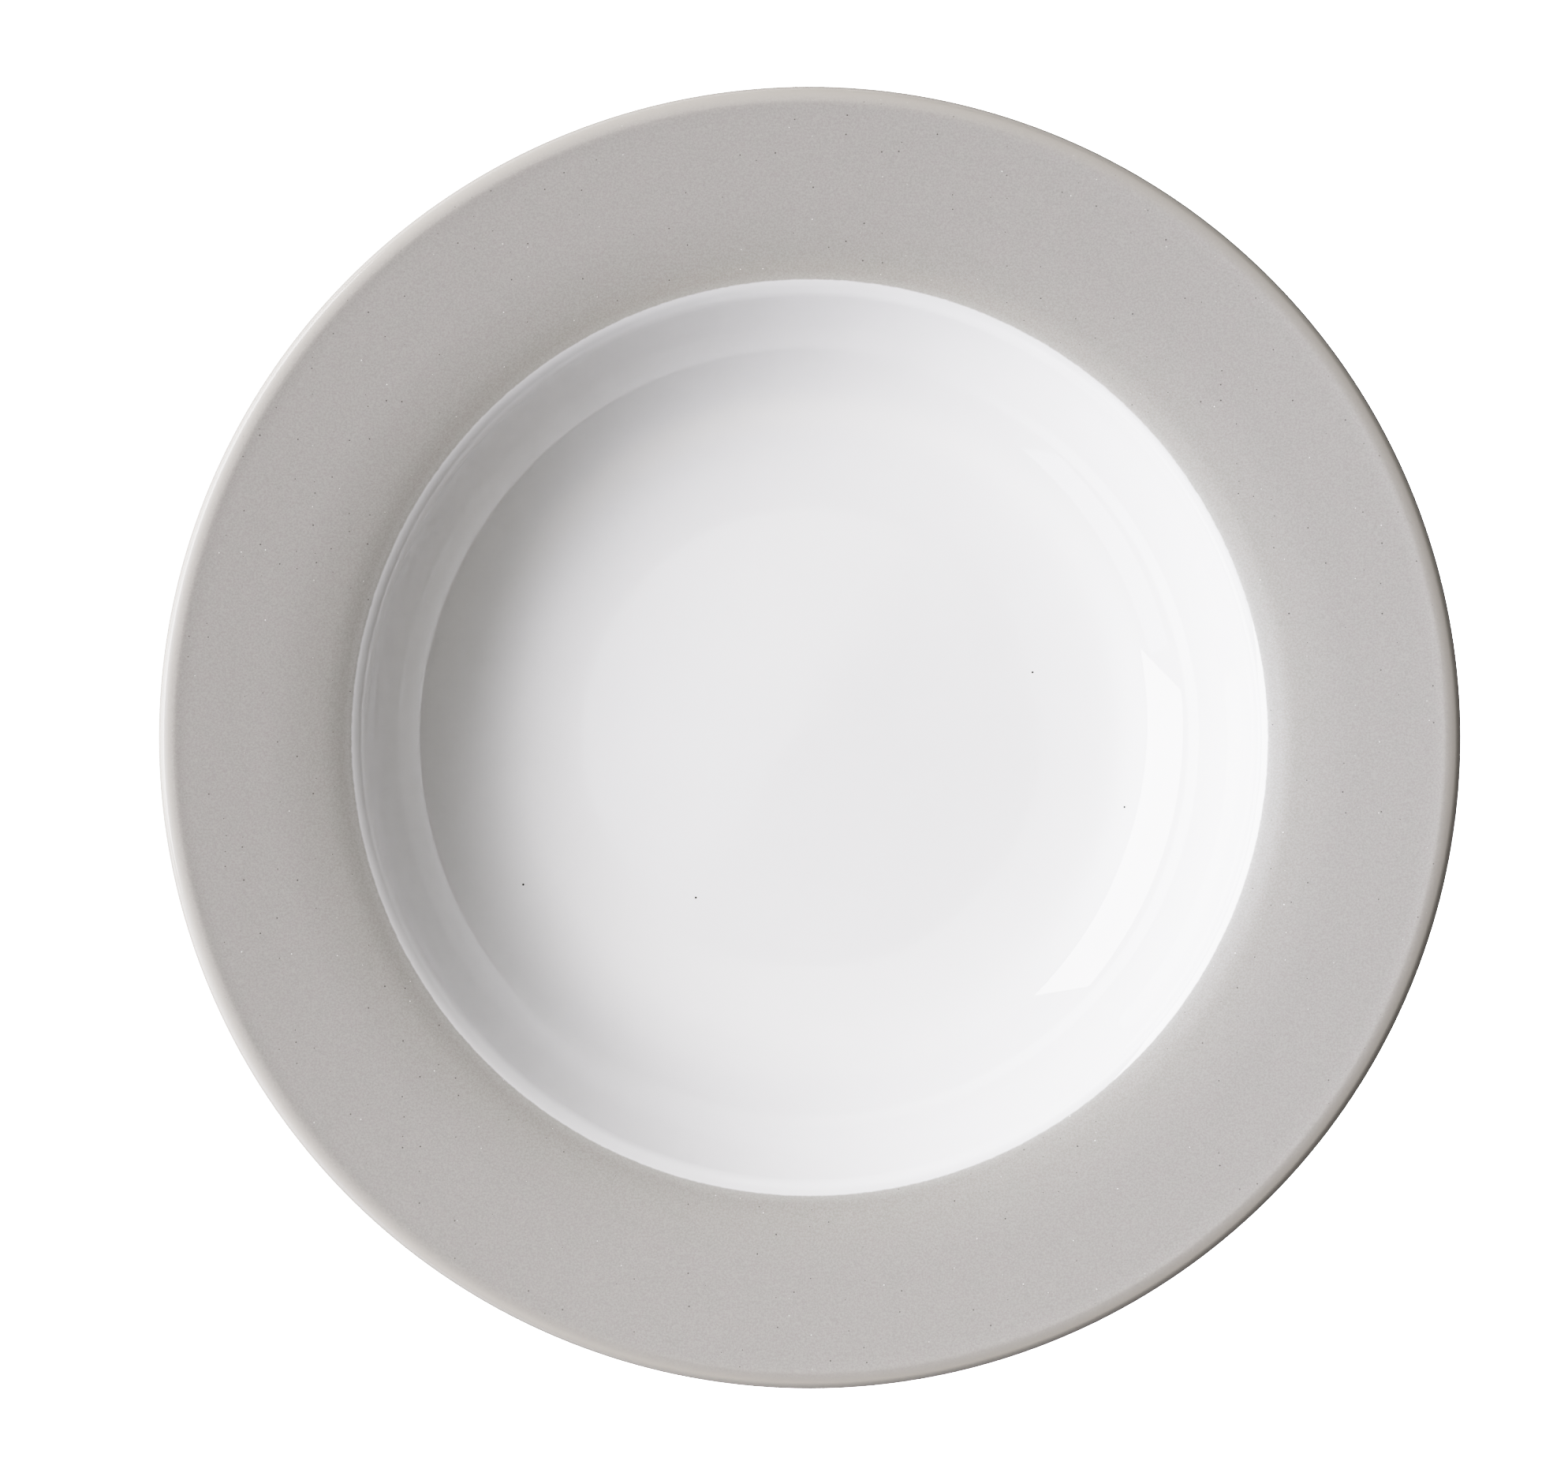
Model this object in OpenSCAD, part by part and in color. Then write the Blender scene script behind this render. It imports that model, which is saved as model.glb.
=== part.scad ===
// Rimmed soup plate: one fired clay body with four coats of glaze.
// The origin is the centre of the foot ring's bearing face, +Z runs up the plate's axis,
// and every piece is a turned section about that axis. All sizes are in millimetres.

/* [Plate] */
// Diameter over the lip
plate_d = 220; // [200:1:260]
// Height from the table to the top of the lip
plate_h = 37; // [33:0.5:43]
// Thickness of the well's wall and of the rim at its root, glaze included
wall_t = 4.4; // [3.6:0.1:5.6]

/* [Well] */
// Diameter of the well at the line where the white glaze meets the grey
well_d = 155.2; // [140:0.2:164]
// Diameter of the flat floor
floor_d = 76; // [60:1:86]
// Radius of the gentle sweep round the flat floor
floor_sweep_r = 100; // [40:5:140]
// Slope where that sweep passes into the well's wall, in degrees
floor_sweep_slope = 6.5; // [2:0.5:10]
// Thickness of the floor, glaze included
floor_t = 4.6; // [3.8:0.1:6]
// Radius of the rounded shoulder at the top of the well's wall
shoulder_r = 5.2; // [4.6:0.1:7]
// Slope of the shoulder at the line where the two glazes meet, in degrees
glaze_line_slope = 25.5; // [20:0.5:38]

/* [Rim] */
// Slope of the crest, where the shoulder passes into the rim, in degrees
crest_slope = 19; // [14:0.5:19.5]
// Width of the crest's even slope
crest_run = 1.3; // [0.5:0.1:3]
// Radius of the round outside the crest
crest_r = 25; // [10:1:40]
// Slope where that round passes into the rim's wide sweep, in degrees
sweep_slope = 11.5; // [9:0.5:13]
// Radius of the rim's wide sweep
sweep_r = 100; // [60:5:180]
// Slope of the rim's straight outer stretch, in degrees
rim_slope = 6; // [3:0.5:8]
// Radius of the shallow hollow just inside the lip
lip_hollow_r = 40; // [20:5:80]
// Slope where that hollow meets the lip, in degrees
lip_slope = 9; // [8.5:0.5:12]
// Radius of the lip's broad top
lip_top_r = 5; // [3.5:0.5:6]
// Slope at which the lip's top passes into its edge, in degrees
lip_edge_slope = 15; // [10:1:25]
// Radius of the lip's edge
lip_edge_r = 1.5; // [1:0.1:2]
// Radius of the lip's lower edge
lip_under_r = 0.9; // [0.6:0.1:1.4]
// Radius of the hollow between the well's outside and the rim's underside
under_shoulder_r = 7; // [4:0.5:12]

/* [Foot] */
// Diameter over the foot ring
foot_d = 115; // [104:1:130]
// Width of the foot ring
foot_w = 5.6; // [4.6:0.1:8]
// Depth of the recess inside the foot ring
foot_h = 3.2; // [2.4:0.1:4.5]
// Radius of the foot ring's bottom edges
foot_edge_r = 1; // [0.5:0.1:1.4]
// Radius of the hollow between the foot ring and the underside of the well
foot_fillet_r = 3; // [1.5:0.5:5]
// Height of the bare clay that is wiped free of glaze round the foot ring
bare_h = 1.5; // [1.4:0.1:2]

/* [Glaze] */
// Thickness of the glaze coats
glaze_t = 0.35; // [0.2:0.05:0.5]

/* [Hidden] */
$fn = 180;

// Largest turn between two points of a round stretch, in degrees, and the least number of its steps
arc_step = 3;
arc_least_steps = 6;
// Points closer together than this are one point
same_point = 0.00001;

clay_colour = [0.90, 0.87, 0.82];
white_glaze_colour = [0.95, 0.95, 0.94];
grey_glaze_colour = [0.73, 0.71, 0.70];

plate_r = plate_d / 2;
floor_r = floor_d / 2;
foot_r = foot_d / 2;
foot_inner_r = foot_r - foot_w;
floor_z = foot_h + floor_t;

// The section is walked from the axis over the lip and back under the plate. A heading is the
// direction of that walk, in degrees from level and outwards: it falls as the walk turns right.
outwards = 0;
down = -90;
inwards = -180;
up = -270;
// Heading back along a line that has this slope
function back_along(slope) = slope + inwards;

// The clay is always on the right of the walk, and this points there
function into_clay(heading) = [sin(heading), -cos(heading)];

// Points of a round stretch, skin below the plate's finished surface.
// A hollow stretch has a positive radius, and a bulging one a negative radius.
function arc(centre, r, from, to, skin) =
    let (steps = max(arc_least_steps, ceil(abs(to - from) / arc_step)))
    [for (i = [0 : steps]) centre + (r + skin) * into_clay(from + (to - from) * i / steps)];

// Centre of a round stretch that passes through a point with a given heading
function centre_of(point, r, heading) = point - r * into_clay(heading);

// A wall is a hollow stretch that starts at start_slope, and then a bulging one. With reach
// from the wall's start to the centre of the bulging one, these give the radius of the hollow
// one and the slope where the two meet.
function hollow_r(reach, bulge_r, start_slope) =
    (reach * reach - bulge_r ^ 2) / (bulge_r - reach * into_clay(start_slope)) / 2;
function meeting_slope(reach, wall_r, start_slope) =
    let (between_centres = reach + wall_r * into_clay(start_slope))
    atan2(between_centres.x, -between_centres.y);

function reversed(points) = [for (i = [len(points) - 1 : -1 : 0]) points[i]];
function distinct(points) =
    [for (i = [0 : len(points) - 1])
        if (norm(points[i] - points[(i + 1) % len(points)]) > same_point) points[i]];

// Step from the start of a round stretch to its end, and the same for a straight stretch
// that has this width and slope
function round_step(r, from, to) = r * (into_clay(to) - into_clay(from));
function straight_step(run, slope) = [run, run * tan(slope)];

// Lip: three tangent rounds, the last two of which meet at the plate's widest circle
lip_edge_turn = -lip_edge_slope;
lip_edge_centre = [
    plate_r - lip_edge_r,
    plate_h - lip_top_r + (lip_top_r - lip_edge_r) * cos(lip_edge_slope)
];
lip_top_centre = lip_edge_centre + (lip_top_r - lip_edge_r) * into_clay(lip_edge_turn);
lip_under_centre = [plate_r - lip_under_r, lip_edge_centre.y];
lip_start = lip_top_centre - lip_top_r * into_clay(lip_slope);

// Rim: from the shoulder's glaze line outwards by the widths of its stretches. The straight
// stretch fills what is left before the lip, and it sets all the heights.
line_to_crest = round_step(-shoulder_r, glaze_line_slope, crest_slope);
crest_to_sweep = round_step(-crest_r, crest_slope, sweep_slope);
sweep_to_straight = round_step(-sweep_r, sweep_slope, rim_slope);
straight_end = lip_start - round_step(lip_hollow_r, rim_slope, lip_slope);
straight_start_r =
    well_d / 2 + line_to_crest.x + crest_run + crest_to_sweep.x + sweep_to_straight.x;
straight_start = straight_end - straight_step(straight_end.x - straight_start_r, rim_slope);
sweep_start = straight_start - sweep_to_straight;
crest_end = sweep_start - crest_to_sweep;
crest_start = crest_end - straight_step(crest_run, crest_slope);
lip_hollow_centre = centre_of(straight_end, lip_hollow_r, rim_slope);
sweep_centre = centre_of(sweep_start, -sweep_r, sweep_slope);
crest_centre = centre_of(crest_end, -crest_r, crest_slope);

// Well: flat floor, gentle sweep, hollow wall and shoulder
floor_sweep_centre = [floor_r, floor_z + floor_sweep_r];
wall_start = floor_sweep_centre + floor_sweep_r * into_clay(floor_sweep_slope);
shoulder_centre = centre_of(crest_start, -shoulder_r, crest_slope);
to_shoulder = shoulder_centre - wall_start;
wall_curve_r = hollow_r(to_shoulder, shoulder_r, floor_sweep_slope);
wall_slope = meeting_slope(to_shoulder, wall_curve_r, floor_sweep_slope);
well_centre = centre_of(wall_start, wall_curve_r, floor_sweep_slope);

// Rim's underside: a straight line from below the crest that touches the lip's lower round
rim_root = crest_start + wall_t * into_clay(crest_slope);
root_to_lip = lip_under_centre - rim_root;
under_slope = atan2(root_to_lip.y, root_to_lip.x) - asin(lip_under_r / norm(root_to_lip));

// Underside of the well: the same kind of wall, about wall_t away. It starts level below the
// centre of the well's wall, and has a wider hollow at the rim.
under_start_r = rim_root.x
    + (under_shoulder_r + wall_t - shoulder_r) * tan((wall_slope - under_slope) / 2);
under_start = rim_root + straight_step(under_start_r - rim_root.x, under_slope);
under_shoulder_centre = centre_of(under_start, under_shoulder_r, back_along(under_slope));
to_under_shoulder = under_shoulder_centre - [well_centre.x, foot_h];
under_curve_r = hollow_r(to_under_shoulder, under_shoulder_r, outwards);
under_wall_slope = meeting_slope(to_under_shoulder, under_curve_r, outwards);
under_well_centre = [well_centre.x, foot_h + under_curve_r];

// Foot ring: upright sides, with a hollow round on each side where it leaves the plate. The
// outer one is no larger than fits between the underside of the well and the bare clay.
foot_reach = foot_r - well_centre.x;
largest_fillet_r =
    ((under_curve_r + foot_h - bare_h) ^ 2 - under_curve_r ^ 2 + foot_reach ^ 2)
    / (under_curve_r - foot_reach) / 2;
fillet_r = min(foot_fillet_r, largest_fillet_r);
fillet_slope = asin(max(0, foot_reach + fillet_r) / (under_curve_r + fillet_r));
foot_fillet_centre = [
    foot_r + fillet_r,
    under_well_centre.y - (under_curve_r + fillet_r) * cos(fillet_slope)
];
recess_fillet_r = foot_h - bare_h;
recess_fillet_centre = [foot_inner_r - recess_fillet_r, bare_h];

// The stretches of the section, each skin below the finished surface

// From the axis across the floor, up the wall and on to the shoulder's glaze line
function well_line(skin) = concat(
    [[0, floor_z - skin]],
    arc(floor_sweep_centre, floor_sweep_r, outwards, floor_sweep_slope, skin),
    arc(well_centre, wall_curve_r, floor_sweep_slope, wall_slope, skin),
    arc(shoulder_centre, -shoulder_r, wall_slope, glaze_line_slope, skin)
);

// From the glaze line across the rim and round the lip
function rim_line(skin) = concat(
    arc(shoulder_centre, -shoulder_r, glaze_line_slope, crest_slope, skin),
    arc(crest_centre, -crest_r, crest_slope, sweep_slope, skin),
    arc(sweep_centre, -sweep_r, sweep_slope, rim_slope, skin),
    arc(lip_hollow_centre, lip_hollow_r, rim_slope, lip_slope, skin),
    arc(lip_top_centre, -lip_top_r, lip_slope, lip_edge_turn, skin),
    arc(lip_edge_centre, -lip_edge_r, lip_edge_turn, down, skin),
    arc(lip_under_centre, -lip_under_r, down, back_along(under_slope), skin)
);

// From the lip under the rim, down the outside of the well and the foot ring to the bare clay
function under_line(skin) = concat(
    [lip_under_centre + (skin - lip_under_r) * into_clay(back_along(under_slope))],
    arc(under_shoulder_centre, under_shoulder_r,
        back_along(under_slope), back_along(under_wall_slope), skin),
    arc(under_well_centre, -under_curve_r,
        back_along(under_wall_slope), back_along(fillet_slope), skin),
    arc(foot_fillet_centre, fillet_r, back_along(fillet_slope), down, skin),
    [[foot_r - skin, bare_h]]
);

// Round the bare foot ring, whose bearing face lies at height zero
function foot_line(skin) = concat(
    [[foot_r - skin, bare_h]],
    arc([foot_r - skin - foot_edge_r, foot_edge_r], -foot_edge_r, down, inwards, 0),
    arc([foot_inner_r + skin + foot_edge_r, foot_edge_r], -foot_edge_r, inwards, up, 0),
    [[foot_inner_r + skin, bare_h]]
);

// From the bare clay inside the foot ring to the middle of the recess
function recess_line(skin) = concat(
    arc(recess_fillet_centre, recess_fillet_r, up, inwards, skin),
    [[0, foot_h + skin]]
);

module turned(points) {
    rotate_extrude() polygon(distinct(points));
}

// A coat of glaze fills the space between the finished surface and the clay
module coat(finished_line, clay_line) {
    turned(concat(finished_line, reversed(clay_line)));
}

module clay_body() {
    color(clay_colour)
        turned(concat(
            well_line(glaze_t),
            rim_line(glaze_t),
            under_line(glaze_t),
            foot_line(glaze_t),
            recess_line(glaze_t)
        ));
}

module rim_glaze() {
    color(grey_glaze_colour) coat(rim_line(0), rim_line(glaze_t));
}

module well_glaze() {
    color(white_glaze_colour) coat(well_line(0), well_line(glaze_t));
}

module underside_glaze() {
    color(white_glaze_colour) coat(under_line(0), under_line(glaze_t));
}

module foot_recess_glaze() {
    color(white_glaze_colour) coat(recess_line(0), recess_line(glaze_t));
}

clay_body();
rim_glaze();
well_glaze();
underside_glaze();
foot_recess_glaze();
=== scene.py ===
# %% [markdown]
# # A rimmed soup plate, dressed for its portrait
# The plate is one fired clay body under four coats of glaze: grey on the rim, white in the
# well and white underneath. All of them are turned shapes, so one section line, walked from
# the axis over the lip and back under the plate, holds every form. This lesson draws that
# line, turns it with Geometry Nodes, and then spends its care on what makes glaze look like
# glaze: how thick it lies, where it runs thin, its specks, and the light that it reflects.

# %% Load the fixed frame
import math

import bmesh
import bpy
from mathutils import Matrix, Vector


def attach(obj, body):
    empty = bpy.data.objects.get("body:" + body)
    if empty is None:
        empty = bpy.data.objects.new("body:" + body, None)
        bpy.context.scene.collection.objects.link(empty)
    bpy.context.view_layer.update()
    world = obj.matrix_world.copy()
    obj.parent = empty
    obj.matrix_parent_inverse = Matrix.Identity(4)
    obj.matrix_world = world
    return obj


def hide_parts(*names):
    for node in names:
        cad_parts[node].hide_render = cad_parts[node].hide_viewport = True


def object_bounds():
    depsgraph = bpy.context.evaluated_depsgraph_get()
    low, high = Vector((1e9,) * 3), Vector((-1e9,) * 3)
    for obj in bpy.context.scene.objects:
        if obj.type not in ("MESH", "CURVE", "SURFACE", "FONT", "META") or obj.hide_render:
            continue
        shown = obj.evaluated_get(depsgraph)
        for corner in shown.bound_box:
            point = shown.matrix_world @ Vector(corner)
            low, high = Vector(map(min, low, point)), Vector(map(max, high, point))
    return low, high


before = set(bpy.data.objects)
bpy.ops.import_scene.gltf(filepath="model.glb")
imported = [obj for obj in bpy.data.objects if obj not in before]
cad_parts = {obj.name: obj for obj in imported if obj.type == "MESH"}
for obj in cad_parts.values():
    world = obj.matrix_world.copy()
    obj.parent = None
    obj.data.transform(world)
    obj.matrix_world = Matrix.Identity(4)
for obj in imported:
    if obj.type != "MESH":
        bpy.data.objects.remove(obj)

cad_low, cad_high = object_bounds()
print("CAD box in mm:", [round(1000 * v, 2) for v in (*cad_low, *cad_high)])

# %% [markdown]
# ## Sizes
# A potter would write these on the drawing of the plate. Its radius and height are read from
# the frame, so the dressed plate always has the size of the construction. The construction's
# circles are polygons, and the smallest half of its box is a few hundredths of a millimetre
# short of the true radius, so the rounder plate uses that one and stays inside the box.
# The other sizes are the construction's own driving sizes.

# %% Driving sizes of the plate
mm = 0.001

plate_r = min(cad_high.x, cad_high.y, -cad_low.x, -cad_low.y)
plate_h = cad_high.z
wall_t = 4.4 * mm
glaze_t = 0.35 * mm

glaze_line_r = 77.6 * mm
floor_r = 38 * mm
floor_sweep_r = 100 * mm
floor_sweep_slope = math.radians(6.5)
floor_t = 4.6 * mm
shoulder_r = 5.2 * mm
glaze_line_slope = math.radians(25.5)

crest_slope = math.radians(19)
crest_run = 1.3 * mm
crest_r = 25 * mm
sweep_slope = math.radians(11.5)
sweep_r = 100 * mm
rim_slope = math.radians(6)
lip_hollow_r = 40 * mm
lip_slope = math.radians(9)
lip_top_r = 5 * mm
lip_edge_slope = math.radians(15)
lip_edge_r = 1.5 * mm
lip_under_r = 0.9 * mm
under_shoulder_r = 7 * mm

foot_r = 57.5 * mm
foot_w = 5.6 * mm
foot_h = 3.2 * mm
foot_edge_r = 1 * mm
foot_fillet_r = 3 * mm
bare_h = 1.5 * mm
print("plate radius and height in mm:", round(plate_r / mm, 2), round(plate_h / mm, 2))

# %% [markdown]
# ## Walking the section
# A turned form is easiest to draw as a walk: at each moment the walker has a place and a
# heading, and the clay is always on the right hand. Round stretches are arcs of a circle. A
# hollow arc has a positive radius and a bulging one a negative radius, so that moving the
# line into the clay by the glaze's thickness is the same sum for both. Straight stretches get
# points too, because the lathe later lets the surface waver a little between them.

# %% Arcs, straight stretches and walls
DOWN = -math.pi / 2
INWARDS = -math.pi
UP = -1.5 * math.pi
ARC_STEP = math.radians(2.5)
ARC_LEAST_STEPS = 8
STRAIGHT_STEP = 1.6 * mm


def into_clay(heading):
    """Unit direction, in the plane of the section, from the surface into the clay."""
    return Vector((math.sin(heading), -math.cos(heading)))


def arc(centre, r, start, end, skin):
    """Points of a round stretch, skin below the finished surface."""
    by_length = abs((end - start) * r) / STRAIGHT_STEP
    steps = max(ARC_LEAST_STEPS, math.ceil(abs(end - start) / ARC_STEP), math.ceil(by_length))
    headings = [start + (end - start) * i / steps for i in range(steps + 1)]
    return [centre + (r + skin) * into_clay(h) for h in headings]


def straight(start, end):
    """Points of a straight stretch without its last one, which the next stretch starts with."""
    steps = max(1, math.ceil((end - start).length / STRAIGHT_STEP))
    return [start.lerp(end, i / steps) for i in range(steps)]


def centre_of(point, r, heading):
    return point - r * into_clay(heading)


def round_step(r, start, end):
    return r * (into_clay(end) - into_clay(start))


def straight_step(run, slope):
    return Vector((run, run * math.tan(slope)))


def wall(reach, bulge_r, start_slope):
    """Steepest slope and hollow radius of a wall. reach runs from its start to its bulge's centre."""
    hollow_r = (reach.dot(reach) - bulge_r**2) / (bulge_r - reach.dot(into_clay(start_slope))) / 2
    between_centres = reach + hollow_r * into_clay(start_slope)
    return math.atan2(between_centres.x, -between_centres.y), hollow_r


quarter = arc(Vector((0, 0)), 10 * mm, DOWN, 0, 0)
print("points on a quarter circle of 10 mm radius:", len(quarter))

# %% [markdown]
# ## From the lip inwards
# On this plate the shoulder rolls over into a crest, falls off into a wide sweep, runs out
# straight and dips a little before the lip. The widths of those stretches are known from the
# glaze line outwards and their heights from the lip inwards, so the sums start at the lip,
# walk back to the crest, and only then find how steep the well's wall has to be.

# %% Lip, rim and well
lip_edge_turn = -lip_edge_slope
lip_edge_centre = Vector((
    plate_r - lip_edge_r,
    plate_h - lip_top_r + (lip_top_r - lip_edge_r) * math.cos(lip_edge_slope),
))
lip_top_centre = lip_edge_centre + (lip_top_r - lip_edge_r) * into_clay(lip_edge_turn)
lip_under_centre = Vector((plate_r - lip_under_r, lip_edge_centre.y))
lip_start = lip_top_centre - lip_top_r * into_clay(lip_slope)

line_to_crest = round_step(-shoulder_r, glaze_line_slope, crest_slope)
crest_to_sweep = round_step(-crest_r, crest_slope, sweep_slope)
sweep_to_straight = round_step(-sweep_r, sweep_slope, rim_slope)
straight_end = lip_start - round_step(lip_hollow_r, rim_slope, lip_slope)
crest_start_r = glaze_line_r + line_to_crest.x
straight_start_r = crest_start_r + crest_run + crest_to_sweep.x + sweep_to_straight.x
straight_start = straight_end - straight_step(straight_end.x - straight_start_r, rim_slope)
sweep_start = straight_start - sweep_to_straight
crest_end = sweep_start - crest_to_sweep
crest_start = crest_end - straight_step(crest_run, crest_slope)

floor_z = foot_h + floor_t
floor_sweep_centre = Vector((floor_r, floor_z + floor_sweep_r))
wall_start = floor_sweep_centre + floor_sweep_r * into_clay(floor_sweep_slope)
shoulder_centre = centre_of(crest_start, -shoulder_r, crest_slope)
wall_slope, wall_curve_r = wall(shoulder_centre - wall_start, shoulder_r, floor_sweep_slope)
well_centre = centre_of(wall_start, wall_curve_r, floor_sweep_slope)
print("steepest slope of the well in degrees:", round(math.degrees(wall_slope), 1))
print("crest height and well floor height in mm:",
      round(crest_start.y / mm, 2), round(floor_z / mm, 2))

# %% [markdown]
# ## The underside
# Nobody sees it while the plate stands, but it is what the table and the hands feel. The
# underside follows the well one wall thickness away, and the rim thins evenly towards the lip.
# The foot ring has upright sides, and a hollow round where it leaves the plate, so that the
# plate can be wiped and stacked.

# %% Underside and foot ring
rim_root = crest_start + wall_t * into_clay(crest_slope)
to_lip = lip_under_centre - rim_root
under_slope = math.atan2(to_lip.y, to_lip.x) - math.asin(lip_under_r / to_lip.length)
under_heading = under_slope + INWARDS

under_overlap = under_shoulder_r + wall_t - shoulder_r
under_run = under_overlap * math.tan((wall_slope - under_slope) / 2)
under_start = rim_root + straight_step(under_run, under_slope)
under_shoulder_centre = centre_of(under_start, under_shoulder_r, under_heading)
under_reach = under_shoulder_centre - Vector((well_centre.x, foot_h))
under_wall_slope, under_curve_r = wall(under_reach, under_shoulder_r, 0)
under_wall_heading = under_wall_slope + INWARDS
under_well_centre = Vector((well_centre.x, foot_h + under_curve_r))

foot_inner_r = foot_r - foot_w
foot_reach = foot_r + foot_fillet_r - well_centre.x
fillet_slope = math.asin(foot_reach / (under_curve_r + foot_fillet_r))
fillet_heading = fillet_slope + INWARDS
foot_fillet_centre = Vector((
    foot_r + foot_fillet_r,
    under_well_centre.y - (under_curve_r + foot_fillet_r) * math.cos(fillet_slope),
))
recess_fillet_r = foot_h - bare_h
recess_fillet_centre = Vector((foot_inner_r - recess_fillet_r, bare_h))
print("slope under the rim in degrees:", round(math.degrees(under_slope), 1))

# %% [markdown]
# ## Five stretches of one line
# The line is cut where the finish changes: at the glaze line on the shoulder, under the lip,
# and at both edges of the bare foot ring. Each stretch can be asked for at any depth below
# the finished surface. Depth zero is the outside of the glaze, and the glaze's thickness is
# the surface of the clay, so glaze and clay always fit each other.

# %% The stretches


def well_line(skin):
    return (
        straight(Vector((0, floor_z - skin)), Vector((floor_r, floor_z - skin)))
        + arc(floor_sweep_centre, floor_sweep_r, 0, floor_sweep_slope, skin)
        + arc(well_centre, wall_curve_r, floor_sweep_slope, wall_slope, skin)
        + arc(shoulder_centre, -shoulder_r, wall_slope, glaze_line_slope, skin)
    )


def rim_line(skin):
    crest = arc(shoulder_centre, -shoulder_r, glaze_line_slope, crest_slope, skin)
    crest_round = arc(centre_of(crest_end, -crest_r, crest_slope),
                      -crest_r, crest_slope, sweep_slope, skin)
    sweep = arc(centre_of(sweep_start, -sweep_r, sweep_slope),
                -sweep_r, sweep_slope, rim_slope, skin)
    hollow = arc(centre_of(straight_end, lip_hollow_r, rim_slope),
                 lip_hollow_r, rim_slope, lip_slope, skin)
    lip = (
        arc(lip_top_centre, -lip_top_r, lip_slope, lip_edge_turn, skin)
        + arc(lip_edge_centre, -lip_edge_r, lip_edge_turn, DOWN, skin)
        + arc(lip_under_centre, -lip_under_r, DOWN, under_heading, skin)
    )
    return crest + crest_round + sweep + straight(sweep[-1], hollow[0]) + hollow + lip


def under_line(skin):
    lip_end = lip_under_centre + (skin - lip_under_r) * into_clay(under_heading)
    hollow = arc(under_shoulder_centre, under_shoulder_r, under_heading, under_wall_heading, skin)
    return (
        straight(lip_end, hollow[0]) + hollow
        + arc(under_well_centre, -under_curve_r, under_wall_heading, fillet_heading, skin)
        + arc(foot_fillet_centre, foot_fillet_r, fillet_heading, DOWN, skin)
        + [Vector((foot_r - skin, bare_h))]
    )


def foot_line(skin):
    outer = Vector((foot_r - skin - foot_edge_r, foot_edge_r))
    inner = Vector((foot_inner_r + skin + foot_edge_r, foot_edge_r))
    return (
        [Vector((foot_r - skin, bare_h))]
        + arc(outer, -foot_edge_r, DOWN, INWARDS, 0)
        + arc(inner, -foot_edge_r, INWARDS, UP, 0)
        + [Vector((foot_inner_r + skin, bare_h))]
    )


def recess_line(skin):
    round_stretch = arc(recess_fillet_centre, recess_fillet_r, UP, INWARDS, skin)
    middle = Vector((0, foot_h + skin))
    return round_stretch + straight(round_stretch[-1], middle)[1:] + [middle]


stretches = (well_line, rim_line, under_line, foot_line, recess_line)
for stretch in stretches:
    print(stretch.__name__, "has", len(stretch(0)), "points")

# %% [markdown]
# ## Small helpers for node trees
# Node trees built in a script stay readable when each common step has a name: a sum, a smooth
# fade between two limits, a cloudy pattern of a given size. Each helper takes a plain number
# or the socket of another node, and gives back the socket that holds its result.

# %% Node helpers


def plug(tree, value, socket):
    """Give a socket a plain value, or the value of another node's socket."""
    if isinstance(value, bpy.types.NodeSocket):
        tree.links.new(value, socket)
    else:
        socket.default_value = value


def maths(tree, operation, *values):
    node = tree.nodes.new("ShaderNodeMath")
    node.operation = operation
    for value, socket in zip(values, node.inputs):
        plug(tree, value, socket)
    return node.outputs["Value"]


def fade(tree, value, start, end, low=0.0, high=1.0):
    """From low, where the value is start, smoothly to high, where the value is end."""
    node = tree.nodes.new("ShaderNodeMapRange")
    node.interpolation_type = "SMOOTHSTEP"
    plug(tree, value, node.inputs["Value"])
    for name, limit in (("From Min", start), ("From Max", end), ("To Min", low), ("To Max", high)):
        plug(tree, limit, node.inputs[name])
    return node.outputs["Result"]


def clouds(tree, place, size, detail=2.0, roughness=0.5):
    """A cloudy pattern between 0 and 1, whose spots are about this size in metres."""
    node = tree.nodes.new("ShaderNodeTexNoise")
    plug(tree, place, node.inputs["Vector"])
    node.inputs["Scale"].default_value = 1 / size
    node.inputs["Detail"].default_value = detail
    node.inputs["Roughness"].default_value = roughness
    return node.outputs[0]


def distance_from_axis(tree, place):
    flat = tree.nodes.new("ShaderNodeVectorMath")
    flat.operation = "MULTIPLY"
    plug(tree, place, flat.inputs[0])
    flat.inputs[1].default_value = (1, 1, 0)
    length = tree.nodes.new("ShaderNodeVectorMath")
    length.operation = "LENGTH"
    tree.links.new(flat.outputs["Vector"], length.inputs[0])
    return length.outputs["Value"]


node_helpers = (plug, maths, fade, clouds, distance_from_axis)
print("node helpers:", ", ".join(helper.__name__ for helper in node_helpers))

# %% [markdown]
# ## An uneven surface
# A real plate is pressed and fired, and never perfectly even. The surface is therefore lifted
# and sunk by a few hundredths of a millimetre in soft waves, which nobody would measure but
# which bend the reflections in the gloss. They are full inside one radius and above one
# height, and die out from there to the lip and to the foot.

# %% Soft waves
UNEVEN = 0.035 * mm
UNEVEN_SIZE = 24 * mm
WAVY_R = plate_r - 6 * mm
WAVY_Z = 4 * mm


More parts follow.
